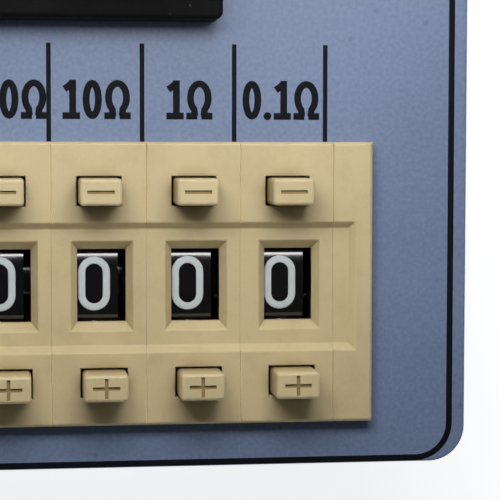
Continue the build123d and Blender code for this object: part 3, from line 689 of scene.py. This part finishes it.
for index, middle in zip(decades, moduleX):
    seams = middle - modulePitch / 2, middle + modulePitch / 2
    addMoulding(f"housing_{index}", f"switch_housing_{index}", seams)
halfBank = decadeCount * modulePitch / 2
for side in ("left", "right"):
    addMoulding(f"endCheek_{side}", f"end_plate_{side}", (-halfBank, halfBank))
print("housings and end cheeks dressed")


# Bow springs of the keys: one piece for each key

for kind in ("minus", "plus"):
    node = f"{kind}_springs"
    low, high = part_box(node)
    for index, x in zip(decades, moduleX):
        bm = mergedCopy(node)
        others = [v for v in bm.verts if abs(v.co.x - x) > modulePitch / 2]
        bmesh.ops.delete(bm, geom=others, context="VERTS")
        spring = addPiece(f"{kind}Spring_{index}", bm, materials["spring_steel"], "case")
        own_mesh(spring)
        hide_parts(node)
print("bow springs parted")


# Cross recesses of the case screws, on the back

cross = {"long": 1.5 * mm, "wide": 0.32 * mm, "depth": 0.9 * mm}
bm = mergedCopy("case_screws")
halfway = Matrix.Rotation(math.pi, 3, "X")
bmesh.ops.rotate(bm, verts=bm.verts, cent=(0, 0, 0), matrix=halfway)  # heads up for the cut
headTop = max(v.co.z for v in bm.verts)
screwX = sum(abs(v.co.x) for v in bm.verts) / len(bm.verts)  # all four stand as far from the middle
screwY = sum(abs(v.co.y) for v in bm.verts) / len(bm.verts)
bars = []
for x in (-screwX, screwX):
    for y in (-screwY, screwY):
        bars += [(x, y, cross["long"], cross["wide"]), (x, y, cross["wide"], cross["long"])]
sinkMark(bm, headTop, bars, cross["depth"])
bmesh.ops.rotate(bm, verts=bm.verts, cent=(0, 0, 0), matrix=halfway.inverted())
screws = addPiece("caseScrews", bm, materials["steel"], "case")
screws.data.materials.append(materials["steel"])
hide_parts("case_screws")
print("screw heads cut")


# Finishes of the nodes that show as they are

slots = {row["node"]: row["material_slot"] for row in frame["record"]["subparts"]}
for name, node in nodes.items():
    node.data.materials.clear()
    node.data.materials.append(materials[slots[name]])
nodes["terminal_block"].data.materials[0] = blockBlack
nodes["post_studs"].data.materials[0] = threadNickel
for index in decades:
    # painted shade: the wipers take the darkened brass
    nodes[f"contact_wiper_{index}"].data.materials[0] = wiperShadedBrass
print("finishes given to", len(slots), "nodes")


# Floor, light and camera

floor = {"size": 1.5, "below": 0.02 * mm, "tone": colour(244, 244, 246), "glow": 0.8}  # clear of the feet
warm = (1.0, 0.995, 0.98)
lights = {  # places and sizes in metres; the first three hang low over the box
    "nearLamp": {"place": (0.009, -0.0122, 0.105), "target": (0.008, -0.038, 0.042), "size": (0.066, 0.027),
                 "power": 0.0475, "tone": warm},
    "rightLamp": {"place": (0.06, -0.027, 0.113), "target": (0.06, -0.05, 0.042), "size": (0.04, 0.015),
                  "power": 0.0022, "tone": warm},
    "topLamp": {"place": (0, 0.11, 0.12), "target": (0, 0.05, 0.042), "size": (0.1, 0.03),
                "power": 0.06, "tone": warm},
    "sideLight": {"place": (0.7, -0.5, 0.35), "target": (0, 0, 0.02), "size": (0.6, 0.3),
                  "power": 0.6, "tone": (0.97, 0.98, 1.0)},
    "farLight": {"place": (-0.6, 0.7, 0.35), "target": (0, 0, 0.02), "size": (0.6, 0.3),
                 "power": 0.6, "tone": (1.0, 0.99, 0.97)},
}
sky = {"tone": (0.9, 0.93, 1.0, 1.0), "strength": 0.03}
shot = {"place": (1.1 * mm, -42.4 * mm, 192 * mm), "tilt": -3.4, "swing": -7.55, "roll": 0.08, "lens": 127.1,
        "sensor": 36, "nearest": 10 * mm}  # turns in degrees


def addFloor():
    bm = bmesh.new()
    bmesh.ops.create_grid(bm, x_segments=2, y_segments=2, size=floor["size"])
    bmesh.ops.translate(bm, verts=bm.verts, vec=(0, 0, -floor["below"]))
    mesh = bpy.data.meshes.new("floor")
    bm.to_mesh(mesh)
    bm.free()
    finish = Finish("floorPaper", floor["tone"], 0.8)
    fibre = finish.noise(2 * mm, 4)
    finish.feed("Base Color", finish.blend(fibre * 0.3, floor["tone"], tinted(floor["tone"], 0.97)))
    finish.feed("Roughness", 0.7 + 0.2 * fibre)
    finish.shader.inputs["Emission Color"].default_value = (1, 1, 1, 1)
    finish.shader.inputs["Emission Strength"].default_value = floor["glow"]
    mesh.materials.append(finish.material)
    sheet = bpy.data.objects.new("floor", mesh)
    bpy.context.scene.collection.objects.link(sheet)


def addLight(name, place, target, size, power, tone):
    lamp = bpy.data.lights.new(name, "AREA")
    lamp.shape = "RECTANGLE"
    lamp.size, lamp.size_y = size
    lamp.energy = power
    lamp.color = tone
    holder = bpy.data.objects.new(name, lamp)
    holder.location = place
    holder.rotation_mode = "QUATERNION"
    holder.rotation_quaternion = (Vector(target) - Vector(place)).to_track_quat("-Z", "Y")
    holder.visible_camera = False
    bpy.context.scene.collection.objects.link(holder)
    return holder


addFloor()
lamps = {name: addLight(name, **light) for name, light in lights.items()}
unlit = bpy.data.collections.new("clear of the bank lamps")  # the bare metal right under them would burn out
unlit.objects.link(nodes["post_studs"])
unlit.collection_objects[0].light_linking.link_state = "EXCLUDE"
for name in ("nearLamp", "rightLamp"):
    lamps[name].light_linking.receiver_collection = unlit
bpy.context.scene.view_settings.view_transform = "Standard"

studio = bpy.data.worlds.new("studio")
studio.use_nodes = True
studio.node_tree.nodes["Background"].inputs["Color"].default_value = sky["tone"]
studio.node_tree.nodes["Background"].inputs["Strength"].default_value = sky["strength"]
bpy.context.scene.world = studio

camera = bpy.data.objects.new("camera", bpy.data.cameras.new("camera"))
camera.data.lens = shot["lens"]
camera.data.sensor_width = shot["sensor"]
camera.data.clip_start = shot["nearest"]
camera.location = shot["place"]
camera.rotation_euler = [math.radians(shot[turn]) for turn in ("tilt", "swing", "roll")]
bpy.context.scene.collection.objects.link(camera)
bpy.context.scene.camera = camera
print("floor, lights and camera set")
